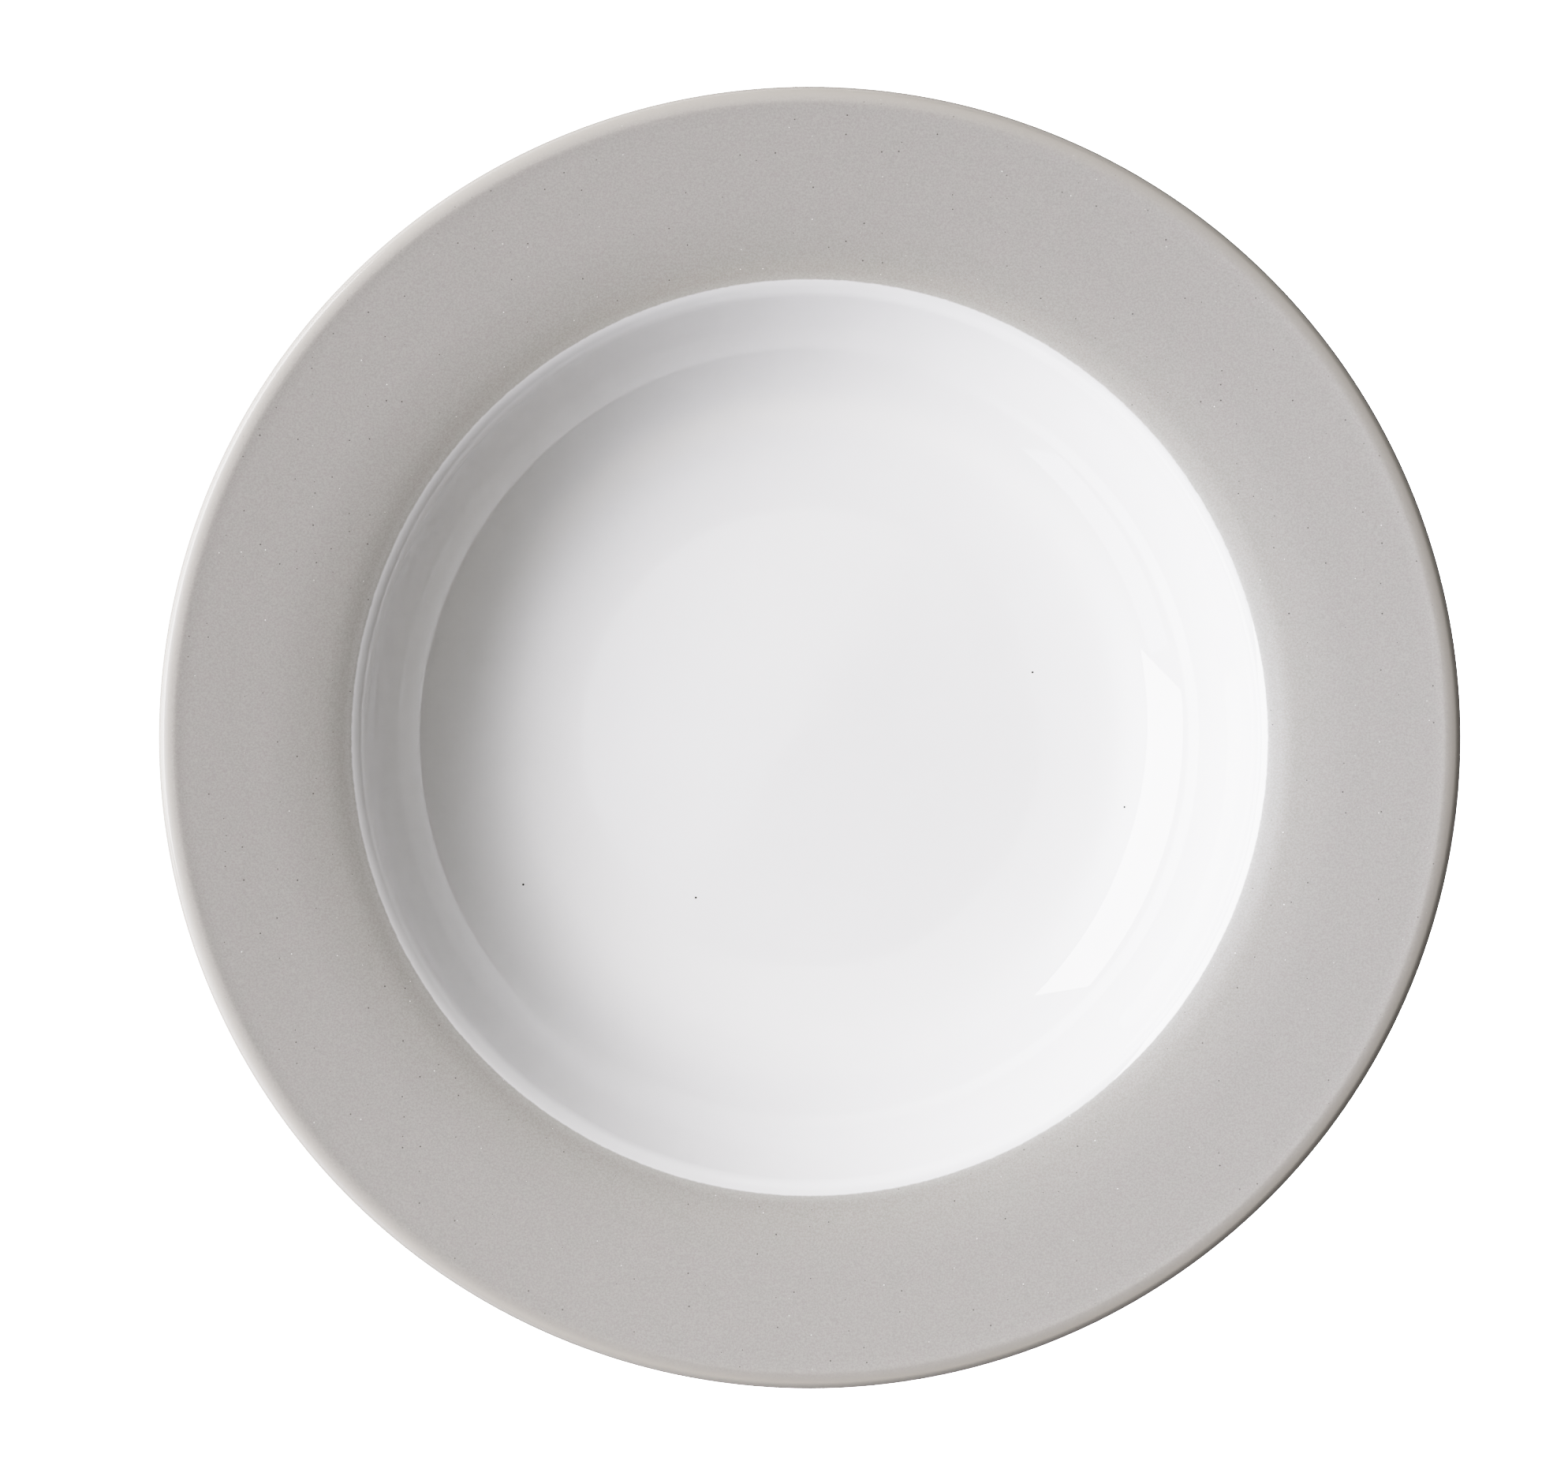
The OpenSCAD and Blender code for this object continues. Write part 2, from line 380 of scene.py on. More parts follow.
def unevenness(tree):
    """A small shift up or down that depends on the place only, so that touching faces agree."""
    place = tree.nodes.new("GeometryNodeInputPosition").outputs["Position"]
    height = tree.nodes.new("ShaderNodeSeparateXYZ")
    tree.links.new(place, height.inputs[0])
    waves = clouds(tree, place, UNEVEN_SIZE, detail=1.0)
    swing = maths(tree, "MULTIPLY", maths(tree, "SUBTRACT", waves, 0.5), 2 * UNEVEN)
    lip = fade(tree, distance_from_axis(tree, place), WAVY_R, lip_start.x, 1.0, 0.0)
    foot = fade(tree, height.outputs["Z"], bare_h, WAVY_Z)
    shift = tree.nodes.new("ShaderNodeCombineXYZ")
    tree.links.new(maths(tree, "MULTIPLY", swing, maths(tree, "MULTIPLY", lip, foot)),
                   shift.inputs["Z"])
    return shift.outputs["Vector"]


print("waves of", round(UNEVEN / mm, 3), "mm, about", round(UNEVEN_SIZE / mm), "mm wide")

# %% [markdown]
# ## A lathe made of nodes
# A turned piece repeats one section round an axis, so Geometry Nodes make it. A grid gets one
# column of points for each point of the section, and one row for each step round the plate
# and one more to close the turn. Every grid point is moved to its section point, swung round
# the axis. The first and the last row then meet and are merged, and so are the points on the
# axis.

# %% The lathe tree
WELD_REACH = 0.002 * mm


def swung_point(tree, section, rows, steps_around):
    """Place of each point of the grid: a point of the section, swung round the axis."""
    index = tree.nodes.new("GeometryNodeInputIndex").outputs["Index"]
    column = maths(tree, "FLOOR", maths(tree, "DIVIDE", index, rows))
    row = maths(tree, "SUBTRACT", index, maths(tree, "MULTIPLY", column, rows))
    turn = maths(tree, "MULTIPLY", maths(tree, "DIVIDE", row, steps_around), math.tau)

    sample = tree.nodes.new("GeometryNodeSampleIndex")
    sample.data_type = "FLOAT_VECTOR"
    plug(tree, section, sample.inputs["Geometry"])
    place = tree.nodes.new("GeometryNodeInputPosition").outputs["Position"]
    plug(tree, place, sample.inputs["Value"])
    plug(tree, column, sample.inputs["Index"])
    swing = tree.nodes.new("ShaderNodeVectorRotate")
    swing.rotation_type = "Z_AXIS"
    plug(tree, sample.outputs["Value"], swing.inputs["Vector"])
    plug(tree, turn, swing.inputs["Angle"])
    return swing.outputs["Vector"]


def work_step(tree, kind, geometry):
    """A node of this kind, which the geometry goes into."""
    node = tree.nodes.new(kind)
    plug(tree, geometry, node.inputs["Geometry"])
    return node


def lathe_tree():
    tree = bpy.data.node_groups.new("turn_section", "GeometryNodeTree")
    tree.is_modifier = True
    for name, kind in (("Section", "Geometry"), ("Steps Around", "Int"), ("Finish", "Material")):
        tree.interface.new_socket(name, in_out="INPUT", socket_type="NodeSocket" + kind)
    tree.interface.new_socket("Turned Piece", in_out="OUTPUT", socket_type="NodeSocketGeometry")
    given = tree.nodes.new("NodeGroupInput").outputs

    size = work_step(tree, "GeometryNodeAttributeDomainSize", given["Section"])
    rows = maths(tree, "ADD", given["Steps Around"], 1)
    grid = tree.nodes.new("GeometryNodeMeshGrid")
    plug(tree, size.outputs["Point Count"], grid.inputs["Vertices X"])
    plug(tree, rows, grid.inputs["Vertices Y"])

    put = work_step(tree, "GeometryNodeSetPosition", grid.outputs["Mesh"])
    place = swung_point(tree, given["Section"], rows, given["Steps Around"])
    plug(tree, place, put.inputs["Position"])
    waver = work_step(tree, "GeometryNodeSetPosition", put.outputs["Geometry"])
    plug(tree, unevenness(tree), waver.inputs["Offset"])
    weld = work_step(tree, "GeometryNodeMergeByDistance", waver.outputs["Geometry"])
    weld.inputs["Distance"].default_value = WELD_REACH
    real = work_step(tree, "GeometryNodeRealizeInstances", weld.outputs["Geometry"])
    finish = work_step(tree, "GeometryNodeSetMaterial", real.outputs["Geometry"])
    plug(tree, given["Finish"], finish.inputs["Material"])
    result = tree.nodes.new("NodeGroupOutput")
    plug(tree, finish.outputs["Geometry"], result.inputs["Turned Piece"])
    return tree


lathe = lathe_tree()
print("lathe tree with", len(lathe.nodes), "nodes")

# %% [markdown]
# ## From section to plain mesh
# The section goes in as a chain of points. Each input of the lathe is found by its name and
# set through its identifier, and the evaluated result is kept as a plain mesh. Faces that
# merging made empty are dissolved, and all faces are turned outwards. The mesh is smooth
# everywhere but along real edges.

# %% Turn one piece
STEPS_AROUND = 300
SHARP = math.radians(35)
SAME_POINT = 0.0001 * mm
EMPTY_EDGE = SAME_POINT / 10


def turned_mesh(name, points, finish, steps_around):
    """The plain mesh that the lathe makes of a chain of points."""
    section = bpy.data.meshes.new(name + "_section")
    chain = [(i, i + 1) for i in range(len(points) - 1)]
    section.from_pydata([(p.x, 0, p.y) for p in points], chain, [])
    holder = bpy.data.objects.new(name + "_section", section)
    bpy.context.collection.objects.link(holder)
    modifier = holder.modifiers.new("lathe", "NODES")
    modifier.node_group = lathe
    inputs = {"Steps Around": steps_around, "Finish": finish}
    for item in lathe.interface.items_tree:
        if item.name in inputs:
            modifier[item.identifier] = inputs[item.name]
    graph = bpy.context.evaluated_depsgraph_get()
    mesh = bpy.data.meshes.new_from_object(holder.evaluated_get(graph))
    mesh.name = name
    bpy.data.objects.remove(holder)
    bpy.data.meshes.remove(section)
    return mesh


def clean(mesh):
    """Drop empty faces, turn all faces outwards, shade smooth. Gives volume and open edges."""
    work = bmesh.new()
    work.from_mesh(mesh)
    bmesh.ops.dissolve_degenerate(work, dist=EMPTY_EDGE, edges=work.edges)
    bmesh.ops.recalc_face_normals(work, faces=work.faces)
    open_edges = sum(not edge.is_manifold for edge in work.edges)
    for face in work.faces:
        face.smooth = True
    for edge in work.edges:
        edge.smooth = edge.calc_face_angle(0) < SHARP
    volume = work.calc_volume(signed=True)
    work.to_mesh(mesh)
    work.free()
    return volume, open_edges


def turned(name, outline, finish, closed, steps_around=STEPS_AROUND):
    """A piece turned from an outline in the plane of the section."""
    points = [p for i, p in enumerate(outline)
              if i == 0 or (p - outline[i - 1]).length > SAME_POINT]
    if closed:
        points.append(points[0])
    mesh = turned_mesh(name, points, finish, steps_around)
    volume, open_edges = clean(mesh)
    piece = bpy.data.objects.new(name, mesh)
    bpy.context.collection.objects.link(piece)
    print(name, len(mesh.polygons), "faces,", round(volume / mm**3), "mm3,",
          open_edges, "open edges")
    return piece


print("steps round the plate:", STEPS_AROUND)

# %% [markdown]
# ## Specks
# Iron in the clay and dust in the kiln leave specks in the glaze. Cells scattered over the
# surface hold one possible speck each, and random numbers of the cell decide whether it is
# there and how large it is. Two more helpers serve every finish: one mixes colours, and one
# starts a material whose patterns lie still on the piece, in the piece's own coordinates.

# %% Helpers for finishes
LEAST_SPECK = 0.4
SPECK_CORE = 0.5


def mix(tree, share, first, second):
    """A blend of two colours. This node's sockets share their names, so they go by number."""
    node = tree.nodes.new("ShaderNodeMix")
    node.data_type = "RGBA"
    plug(tree, share, node.inputs[0])
    plug(tree, first, node.inputs[6])
    plug(tree, second, node.inputs[7])
    return node.outputs[2]


def colour(red, green, blue):
    return (red, green, blue, 1.0)


def specks(tree, place, cell, largest, share):
    """1 in the core of each speck, seen from above. Only this share of the cells has one."""
    node = tree.nodes.new("ShaderNodeTexVoronoi")
    node.voronoi_dimensions = "2D"
    plug(tree, place, node.inputs["Vector"])
    node.inputs["Scale"].default_value = 1 / cell
    chance = tree.nodes.new("ShaderNodeSeparateColor")
    tree.links.new(node.outputs["Color"], chance.inputs[0])
    there = maths(tree, "LESS_THAN", chance.outputs[0], share)
    radius = maths(tree, "MULTIPLY", maths(tree, "ADD", chance.outputs[1], LEAST_SPECK),
                   largest / (1 + LEAST_SPECK) / cell)
    core = maths(tree, "MULTIPLY", radius, SPECK_CORE)
    near = fade(tree, node.outputs["Distance"], radius, core)
    return maths(tree, "MULTIPLY", there, near)


def new_finish(name):
    """A material with its tree, its shader and the piece's own coordinates."""
    material = bpy.data.materials.new(name)
    material.use_nodes = True
    tree = material.node_tree
    place = tree.nodes.new("ShaderNodeTexCoord").outputs["Object"]
    return material, tree, tree.nodes["Principled BSDF"].inputs, place


finish_helpers = (mix, colour, specks, new_finish)
print("finish helpers:", ", ".join(helper.__name__ for helper in finish_helpers))

# %% [markdown]
# ## The masked edge of the grey
# The rim's grey is sprayed over the white while a mask covers the well. The mask makes most of
# the change sharp, but a breath of grey drifts under it, and just outside it the coat is thin.
# The edge runs across two pieces, so both glazes get it from the same two functions.

# %% Masked edge
DRIFT_WIDTH = 2.2 * mm
DRIFT_SHARE = 0.14
MASK_EDGE = 0.16 * mm
MIST_WIDTH = 1.7 * mm
MIST_SHARE = 0.1
RAGGED = 0.25 * mm
RAGGED_SIZE = 1 * mm


def frayed(tree, place):
    """Distance from the axis, with the small unevenness that a mask and a spray leave."""
    fraying = maths(tree, "SUBTRACT", clouds(tree, place, RAGGED_SIZE, detail=3.0), 0.5)
    return maths(tree, "ADD", distance_from_axis(tree, place),
                 maths(tree, "MULTIPLY", fraying, RAGGED))


def sprayed(tree, r):
    """Share of the rim's grey: drift under the mask, the mask's edge, and the thin coat outside."""
    drift = fade(tree, r, glaze_line_r - DRIFT_WIDTH, glaze_line_r, 0.0, DRIFT_SHARE)
    edge = fade(tree, r, glaze_line_r - MASK_EDGE, glaze_line_r + MASK_EDGE,
                0.0, 1 - DRIFT_SHARE - MIST_SHARE)
    mist = fade(tree, r, glaze_line_r, glaze_line_r + MIST_WIDTH, 0.0, MIST_SHARE)
    return maths(tree, "ADD", maths(tree, "ADD", drift, edge), mist)


print("width of the masked edge in mm:", round((DRIFT_WIDTH + MIST_WIDTH) / mm, 1))

# %% [markdown]
# ## White glaze
# The white glaze is a clear gloss over an opaque white. It is very smooth, so nearly all of
# its character comes from reflections. Its white varies a little, in soft patches of about a
# centimetre. A gas bubble that bursts late in the firing leaves a pinhole, and this well has
# four of them. They are too few and too small to be left to chance, so each has its place.
# Each is drawn as a near-black dot, a painted shade for the inside of the hole, which the
# mesh does not have.

# %% White glaze
WHITE = colour(0.797, 0.79, 0.787)
WHITER = colour(0.82, 0.811, 0.81)
WHITE_PATCH_SIZE = 11 * mm
WHITE_ROUGHNESS = 0.02
WHITE_GLAZE_IOR = 1.52
DRIFTED_GREY = colour(0.352, 0.34, 0.33)
# Near-black painted shade for the inside of a pinhole; the hole itself has no depth in the mesh.
PINHOLE_PAINTED_SHADE = colour(0.05, 0.045, 0.04)
PINHOLE_R = 0.24 * mm
PINHOLE_CORE_R = 0.12 * mm
WELL_PINHOLES = (
    (38.7 * mm, 11.3 * mm), (54.5 * mm, -12.0 * mm),
    (-49.4 * mm, -25.4 * mm), (-19.6 * mm, -27.7 * mm),
)


def pinhole(tree, place, x, y):
    """1 in the core of a pinhole at this point in the plan of the plate, and soft at its edge."""
    away = tree.nodes.new("ShaderNodeVectorMath")
    away.operation = "SUBTRACT"
    plug(tree, place, away.inputs[0])
    away.inputs[1].default_value = (x, y, 0)
    distance = distance_from_axis(tree, away.outputs["Vector"])
    return fade(tree, distance, PINHOLE_CORE_R, PINHOLE_R, 1.0, 0.0)


def white_glaze(name, pinholes, beside_rim):
    material, tree, shader, place = new_finish(name)
    white = mix(tree, clouds(tree, place, WHITE_PATCH_SIZE), WHITE, WHITER)
    if beside_rim:
        white = mix(tree, sprayed(tree, frayed(tree, place)), white, DRIFTED_GREY)
    # Each real pinhole gets a dot of painted shade, standing in for the shadow inside the hole.
    for x, y in pinholes:
        white = mix(tree, pinhole(tree, place, x, y), white, PINHOLE_PAINTED_SHADE)
    plug(tree, white, shader["Base Color"])
    shader["Roughness"].default_value = WHITE_ROUGHNESS
    shader["IOR"].default_value = WHITE_GLAZE_IOR
    print(name, "made with", len(tree.nodes), "nodes")
    return material


white_in_well = white_glaze("white_gloss_glaze_in_well", WELL_PINHOLES, beside_rim=True)
white_below = white_glaze("white_gloss_glaze_below", (), beside_rim=False)

# %% [markdown]
# ## Grey glaze
# The grey glaze goes over the rim after the white. Near the well it is yellower, and further
# out pinker. It holds a fine grain, faint clouds, dark iron specks and white specks, and it
# runs thin over the lip, where it slowly turns cream. It is a softer glass than the white,
# and mirrors a little less.

# %% Grey glaze
INNER_GREY_R = 79 * mm
OUTER_GREY_R = 91 * mm
INNER_GREY = colour(0.331, 0.314, 0.292)
OUTER_GREY = colour(0.334, 0.313, 0.301)
INNER_GREENER = colour(0.325, 0.317, 0.291)
OUTER_GREENER = colour(0.328, 0.316, 0.299)
GREY_CLOUD_SIZE = 3 * mm
GRAIN_SIZE = 0.32 * mm
GRAIN_PALE = colour(0.387, 0.37, 0.353)
IRON_DARK = colour(0.14, 0.13, 0.125)
SPECK_WHITE = colour(0.75, 0.74, 0.73)
LIP_THIN_R = plate_r - 3.8 * mm
LIP_THIN_WIDTH = 3 * mm
LIP_CREAM = colour(0.402, 0.377, 0.345)
GREY_ROUGHNESS = 0.09
GREY_GLAZE_IOR = 1.46


def speckled_grey(tree, place):
    """The glaze where it lies thick: clouds, grain and specks."""
    outer_share = fade(tree, distance_from_axis(tree, place), INNER_GREY_R, OUTER_GREY_R)
    grey = mix(tree, outer_share, INNER_GREY, OUTER_GREY)
    greener = mix(tree, outer_share, INNER_GREENER, OUTER_GREENER)
    cloudiness = fade(tree, clouds(tree, place, GREY_CLOUD_SIZE, detail=3.0), 0.3, 0.7)
    cloudy = mix(tree, cloudiness, grey, greener)
    grain = fade(tree, clouds(tree, place, GRAIN_SIZE, detail=4.0, roughness=0.7), 0.35, 0.65)
    grained = mix(tree, grain, cloudy, GRAIN_PALE)
    dark = specks(tree, place, cell=3 * mm, largest=0.18 * mm, share=0.22)
    white = specks(tree, place, cell=4 * mm, largest=0.14 * mm, share=0.15)
    return mix(tree, white, mix(tree, dark, grained, IRON_DARK), SPECK_WHITE)


def grey_glaze(name):
    material, tree, shader, place = new_finish(name)
    frayed_r = frayed(tree, place)
    thin = fade(tree, frayed_r, LIP_THIN_R, LIP_THIN_R + LIP_THIN_WIDTH)
    lipped = mix(tree, thin, speckled_grey(tree, place), LIP_CREAM)
    plug(tree, mix(tree, sprayed(tree, frayed_r), WHITE, lipped), shader["Base Color"])
    shader["Roughness"].default_value = GREY_ROUGHNESS
    shader["IOR"].default_value = GREY_GLAZE_IOR
    print(name, "made with", len(tree.nodes), "nodes")
    return material


grey_on_rim = grey_glaze("grey_rim_glaze")

# %% [markdown]
# ## Bare clay
# The bearing face of the foot ring is wiped before firing, because glaze would stick the
# plate to the kiln shelf. What shows there is the fired clay itself: matt, warm and gritty.

# %% Bare clay
GRIT_SIZE = 0.8 * mm
GRIT_RELIEF = 0.08 * mm
CLAY = colour(0.62, 0.55, 0.45)
PALER_CLAY = colour(0.74, 0.69, 0.6)
RUST = colour(0.3, 0.2, 0.13)
CLAY_ROUGHNESS = 0.85


def fired_clay(name):
    material, tree, shader, place = new_finish(name)
    grit = clouds(tree, place, GRIT_SIZE, detail=4.0, roughness=0.65)
    tone = mix(tree, fade(tree, grit, 0.35, 0.7), CLAY, PALER_CLAY)
    iron = specks(tree, place, cell=2.5 * mm, largest=0.25 * mm, share=0.3)
    plug(tree, mix(tree, iron, tone, RUST), shader["Base Color"])
    shader["Roughness"].default_value = CLAY_ROUGHNESS
    relief = tree.nodes.new("ShaderNodeBump")
    relief.inputs["Distance"].default_value = GRIT_RELIEF
    plug(tree, grit, relief.inputs["Height"])
    plug(tree, relief.outputs["Normal"], shader["Normal"])
    print(name, "made with", len(tree.nodes), "nodes")
    return material


bare_clay = fired_clay("fired_clay")

# %% [markdown]
# ## The five pieces
# Each coat of glaze is a closed shell: out along the finished surface and back along the
# clay. The clay body is the same walk all the way round, one glaze thickness down, but its
# bare foot still stands on the table. Each piece stands in for the construction's piece of
# that name and rides on its only body.

# %% Turn the pieces


def coat(name, line, finish):
    """A closed shell between the finished surface and the clay. A disc starts at the axis."""
    surface, clay = line(0), line(glaze_t)
    if surface[-1].x == 0:
        surface.reverse()
        clay.reverse()
    outline = surface + clay[::-1]
    return turned(name, outline, finish, closed=outline[0].x > 0)


BODY_STEPS_AROUND = 224
body_outline = [p for line in stretches for p in line(glaze_t)]
pieces = {
    "clay_body": turned("fired_clay_body", body_outline, bare_clay, False, BODY_STEPS_AROUND),
    "well_glaze": coat("white_glaze_in_well", well_line, white_in_well),
    "rim_glaze": coat("grey_glaze_on_rim", rim_line, grey_on_rim),
    "underside_glaze": coat("white_glaze_underneath", under_line, white_below),
    "foot_recess_glaze": coat("white_glaze_in_foot_recess", recess_line, white_below),
}
for node, piece in pieces.items():
    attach(piece, "root")
    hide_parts(node)
print("pieces:", ", ".join(piece.name for piece in pieces.values()))

# %% [markdown]
# ## Camera
# The picture looks straight down on the plate from about five plate widths away, through a
# long lens. The plate stands a little right of the middle. Its widest circle, round the lip,
# gives the scale, so the camera's height is measured from there.

# %% Camera over the plate
photo_width_px = 1988
photo_height_px = 1871
plate_centre_px = Vector((1026.5, 934.95))
plate_radius_px = 825.4
m_per_px = plate_r / plate_radius_px
lens = 150 * mm
sensor_width = 36 * mm
farthest_view = 20
camera_distance = photo_width_px * m_per_px * lens / sensor_width

camera_data = bpy.data.cameras.new("camera")
camera_data.lens = lens / mm
camera_data.sensor_width = sensor_width / mm
camera_data.clip_end = farthest_view
camera = bpy.data.objects.new("camera", camera_data)
bpy.context.collection.objects.link(camera)
camera.location = (
    (photo_width_px / 2 - plate_centre_px.x) * m_per_px,
    (plate_centre_px.y - photo_height_px / 2) * m_per_px,
    lip_edge_centre.y + camera_distance,
)
bpy.context.scene.camera = camera
print("camera distance in m:", round(camera_distance, 3))

# %% [markdown]
# ## White sweep
# The plate lies on a white sweep that is lit until it vanishes. To the camera the floor
# shines, and everything else sees it as dull paper, so that its light does not flood the
# plate from below. Under the rim and at the foot ring, a painted shadow drawn from ambient
# occlusion dims the shine, so that the plate also stands on the paper when seen from the side.

# %% Floor
FLOOR_HALF = 3.0
PAPER_DULL = colour(0.35, 0.35, 0.35)
PAPER_GLOW = 20.0
SHADOW_REACH = 50 * mm
SHADOW_DEPTH = 2.0


def split_view(tree, for_the_rest, for_the_camera, end_node):
    """Show the camera one shader and all other rays another, through this kind of end node."""
    rays = tree.nodes.new("ShaderNodeLightPath")
    either = tree.nodes.new("ShaderNodeMixShader")
    plug(tree, rays.outputs["Is Camera Ray"], either.inputs[0])
    plug(tree, for_the_rest.outputs[0], either.inputs[1])
    plug(tree, for_the_camera.outputs[0], either.inputs[2])
    end = tree.nodes.new(end_node)
    plug(tree, either.outputs[0], end.inputs["Surface"])


def shining_paper(name):
    material = bpy.data.materials.new(name)
    material.use_nodes = True
    tree = material.node_tree
    tree.nodes.clear()
    dull = tree.nodes.new("ShaderNodeBsdfDiffuse")
    dull.inputs["Color"].default_value = PAPER_DULL
    # Painted shadow: ambient occlusion dims the glow near the plate, in place of a cast shadow.
    openness = tree.nodes.new("ShaderNodeAmbientOcclusion")
    openness.inputs["Distance"].default_value = SHADOW_REACH
    lit = maths(tree, "POWER", openness.outputs["AO"], SHADOW_DEPTH)
    glow = tree.nodes.new("ShaderNodeEmission")
    plug(tree, maths(tree, "MULTIPLY", lit, PAPER_GLOW), glow.inputs["Strength"])
    split_view(tree, dull, glow, "ShaderNodeOutputMaterial")
    return material


floor_mesh = bpy.data.meshes.new("floor")
corners = [(x * FLOOR_HALF, y * FLOOR_HALF, 0) for x, y in ((-1, -1), (1, -1), (1, 1), (-1, 1))]
floor_mesh.from_pydata(corners, [], [(0, 1, 2, 3)])
floor_mesh.materials.append(shining_paper("pale_paper"))
floor = bpy.data.objects.new("floor", floor_mesh)
bpy.context.collection.objects.link(floor)
print("floor of", 2 * FLOOR_HALF, "m")

# %% [markdown]
# ## Studio light
# Gloss shows the room. Two panels light this plate: a big softbox on the left, whose slanted
# shape shines in the right wall of the well, and a dimmer card beside it, nearer to the front.
# Their places follow from the highlights: a camera ray that meets the wall at a corner of a
# highlight is mirrored there, and points at that corner of the panel.

# %% Lamps
SOFTBOX_CORNERS = (
    Vector((-1.15, -0.30, 1.12)), Vector((-1.52, -0.20, 0.54)),
    Vector((-1.14, 0.98, 0.56)), Vector((-0.77, 0.93, 1.12)),
)
CARD_CORNERS = (
    Vector((-1.23, -0.33, 1.13)), Vector((-1.58, -0.36, 0.54)),
    Vector((-1.05, -1.18, 0.66)), Vector((-0.88, -1.24, 0.78)),
)
SOFTBOX_RADIANCE = 14.0
CARD_RADIANCE = 3.6
SOFTBOX_TINT = (1.02, 1.0, 1.01)
SKY = (0.93, 0.98, 1.15)


def panel(name, corners, radiance, tint):
    """A flat light near these four corners, the first side of which is a short one."""
    a, b, c, d = corners
    along = ((c - b) + (d - a)) / 2
    across = ((a - b) + (d - c)) / 2
    data = bpy.data.lights.new(name, "AREA")
    data.shape = "RECTANGLE"
    data.size = along.length
    data.size_y = across.length
    data.color = tint
    data.energy = radiance * math.pi * along.length * across.length
    x = along.normalized()
    y = (across - x * across.dot(x)).normalized()
    z = x.cross(y)
    centre = (a + b + c + d) / 4
    if z.dot(centre) < 0:
        y, z = -y, -z
    lamp = bpy.data.objects.new(name, data)
    bpy.context.collection.objects.link(lamp)
    lamp.matrix_world = Matrix.Translation(centre) @ Matrix((x, y, z)).transposed().to_4x4()
    print(name, "measures", round(along.length, 2), "by", round(across.length, 2), "m")


panel("key_softbox", SOFTBOX_CORNERS, SOFTBOX_RADIANCE, SOFTBOX_TINT)
panel("side_card", CARD_CORNERS, CARD_RADIANCE, SKY)

# %% [markdown]
# ## Directions in the room
# What the panels leave dark, the room fills. A world shader gives light by direction alone, so
# the room's light is drawn with two angles: how far a direction is from straight up, and which
# way it points in plan. Three small functions turn them into a ring, a side and a soft glow.

# %% Directions
world = bpy.data.worlds.new("studio")
bpy.context.scene.world = world
world.use_nodes = True
room = world.node_tree
room.nodes.clear()
outwards = room.nodes.new("ShaderNodeTexCoord").outputs["Generated"]
parts = room.nodes.new("ShaderNodeSeparateXYZ")
plug(room, outwards, parts.inputs[0])
off_axis = maths(room, "DEGREES", maths(room, "ARCCOSINE", parts.outputs["Z"]))
azimuth = maths(room, "ARCTAN2", parts.outputs["Y"], parts.outputs["X"])


def towards(side_azimuth):
    """Full in this direction, and nothing a quarter turn away."""
    facing = maths(room, "COSINE", maths(room, "SUBTRACT", azimuth, math.radians(side_azimuth)))
    return maths(room, "POWER", maths(room, "MAXIMUM", facing, 0.0), 2.0)


def within(start, end, soft):
    """1 between these two angles from straight up, with edges as soft as this angle."""
    rise = fade(room, off_axis, start - soft, start + soft)
    fall = fade(room, off_axis, end - soft, end + soft, 1.0, 0.0)
    return maths(room, "MULTIPLY", rise, fall)


def glow_round(middle_off_axis, middle_azimuth, reach, strength):
    """Full strength in one direction, fading all round it until this angle away."""
    middle = Vector((
        math.sin(middle_off_axis) * math.cos(middle_azimuth),
        math.sin(middle_off_axis) * math.sin(middle_azimuth),
        math.cos(middle_off_axis),
    ))
    facing = room.nodes.new("ShaderNodeVectorMath")
    facing.operation = "DOT_PRODUCT"
    plug(room, outwards, facing.inputs[0])
    plug(room, middle, facing.inputs[1])
    away = maths(room, "DEGREES", maths(room, "ARCCOSINE", facing.outputs["Value"]))
    return fade(room, away, 0, reach, strength, 0)


print("nodes that find a direction:", len(room.nodes))

# %% [markdown]
# ## Room light
# Seen from the plate, the room is rings of light, from overhead down to the horizon, each with
# its own strength towards the left, the back and the front of the picture. The first starts
# below zero degrees, so it has no inner edge and is a disc overhead. The right side of the
# room is dark. High on the left a window glows through a curtain, without an edge. Its light
# is cool, and that of the rest a little warmer. The lowest rings are a lit backdrop that is
# brightest at the horizon, which draws the bright line along the shoulder. The camera itself
# sees only white beyond the sweep.

# %% Room
COOL = (0.96, 1.0, 1.08)
WARM = (1.01, 1.0, 0.95)
AMBER = (1.18, 1.03, 0.76)
SIDES = {
    "back": {"azimuth": 90, "tint": WARM},
    "left": {"azimuth": 180, "tint": COOL},
    "front": {"azimuth": 270, "tint": AMBER},
}
ROOM_RINGS = (
    {"from": -20, "to": 27, "fade": 7, "left": 1.2, "back": 1.5, "front": 0.0},
    {"from": 27, "to": 48, "fade": 7, "left": 2.9, "back": 0.85, "front": 1.0},
    {"from": 75, "to": 87, "fade": 1, "left": 7.0, "back": 1.3, "front": 0.0},
    {"from": 87, "to": 90, "fade": 0.3, "left": 16.0, "back": 6.0, "front": 0.0},
)
CURTAIN_OFF_AXIS = math.radians(45)
CURTAIN_AZIMUTH = math.radians(170)
CURTAIN_REACH = 30
CURTAIN_STRENGTH = 3.0


def tinted(tint, strength):
    node = room.nodes.new("ShaderNodeVectorMath")
    node.operation = "SCALE"
    plug(room, tint, node.inputs[0])
    plug(room, strength, node.inputs["Scale"])
    return node.outputs["Vector"]


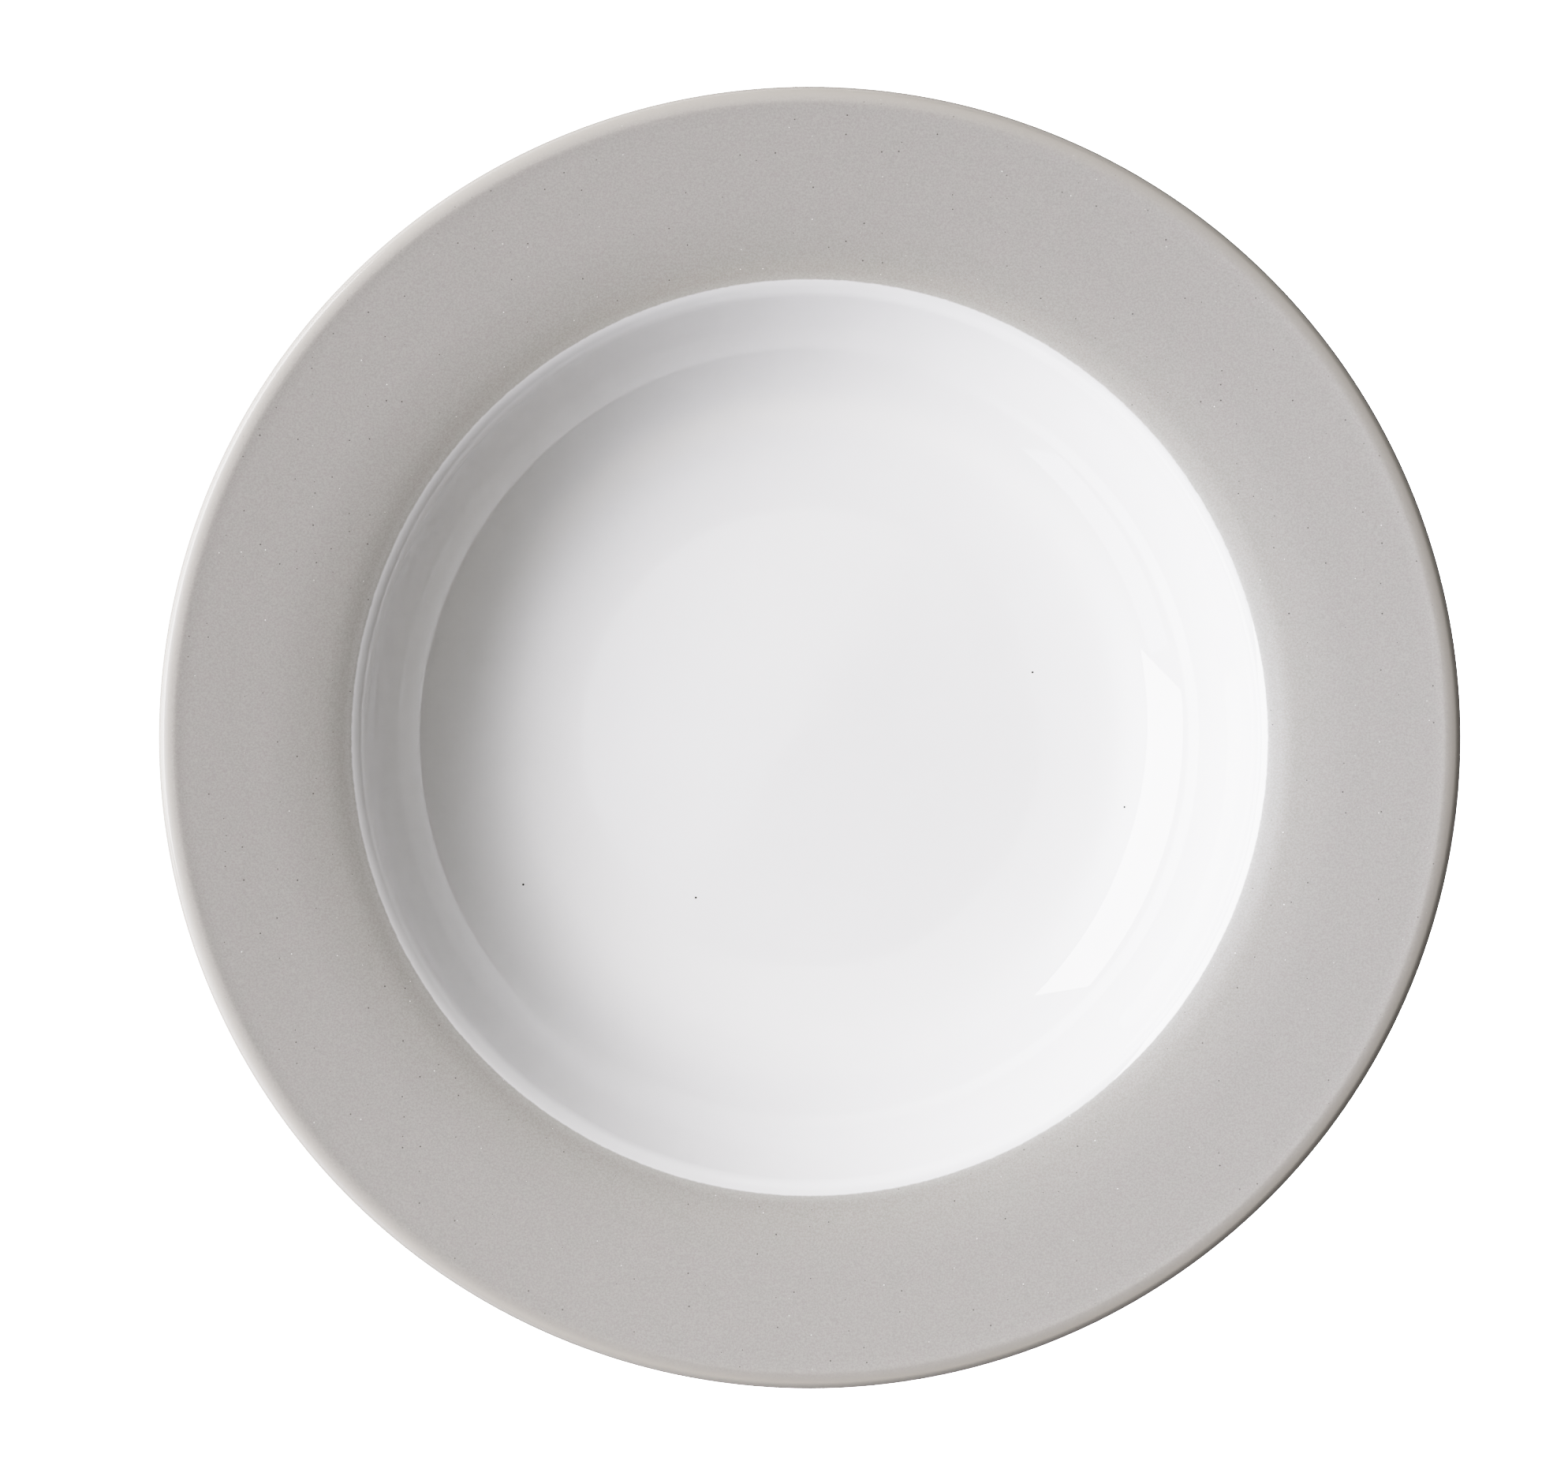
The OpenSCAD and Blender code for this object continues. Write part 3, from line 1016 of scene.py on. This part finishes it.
def both(first, second):
    node = room.nodes.new("ShaderNodeVectorMath")
    plug(room, first, node.inputs[0])
    plug(room, second, node.inputs[1])
    return node.outputs["Vector"]


curtain = glow_round(CURTAIN_OFF_AXIS, CURTAIN_AZIMUTH, CURTAIN_REACH, CURTAIN_STRENGTH)
ring_masks = [within(ring["from"], ring["to"], ring["fade"]) for ring in ROOM_RINGS]
light = tinted(SKY, curtain)
for name, side in SIDES.items():
    strength = 0.0
    for ring, mask in zip(ROOM_RINGS, ring_masks):
        strength = maths(room, "ADD", strength, maths(room, "MULTIPLY", mask, ring[name]))
    facing_strength = maths(room, "MULTIPLY", strength, towards(side["azimuth"]))
    light = both(light, tinted(side["tint"], facing_strength))
surroundings = room.nodes.new("ShaderNodeBackground")
plug(room, light, surroundings.inputs["Color"])
beyond = room.nodes.new("ShaderNodeBackground")
beyond.inputs["Strength"].default_value = PAPER_GLOW
split_view(room, surroundings, beyond, "ShaderNodeOutputWorld")
print("room light with", len(room.nodes), "nodes")

# %% [markdown]
# ## Film response
# A camera gives highlights a soft shoulder and deepens the shadows a little. The same curve,
# written as a formula, goes into the scene's colour management, so that bright glaze keeps
# its form and only the sweep goes fully white.

# %% Tone curve
WHITE_LEVEL = 8.0
CONTRAST = 1.25
SHOULDER = 1.8
ALL_COLOURS = 3
LEVELS = (0.05, 0.1, 0.2, 0.3, 0.4, 0.5, 0.6, 0.8, 1.0, 1.25, 1.5, 1.8, 2.2, 2.8, 4.0, 6.0)


def film(level):
    """The tone between 0 and 1 that a level of light gives. The levels may go beyond 1."""
    u = level**CONTRAST
    return u / (1 + u**SHOULDER) ** (1 / SHOULDER)


view = bpy.context.scene.view_settings
view.view_transform = "Standard"
view.use_curve_mapping = True
curves = view.curve_mapping
curves.white_level = (WHITE_LEVEL, WHITE_LEVEL, WHITE_LEVEL)
tone = curves.curves[ALL_COLOURS]
tone.points[0].location = (0, 0)
tone.points[1].location = (1, 1)
for level in LEVELS:
    tone.points.new(level / WHITE_LEVEL, film(level))
curves.update()
print("tones:", [round(film(level), 2) for level in (0.25, 0.5, 1.0, 2.0)])
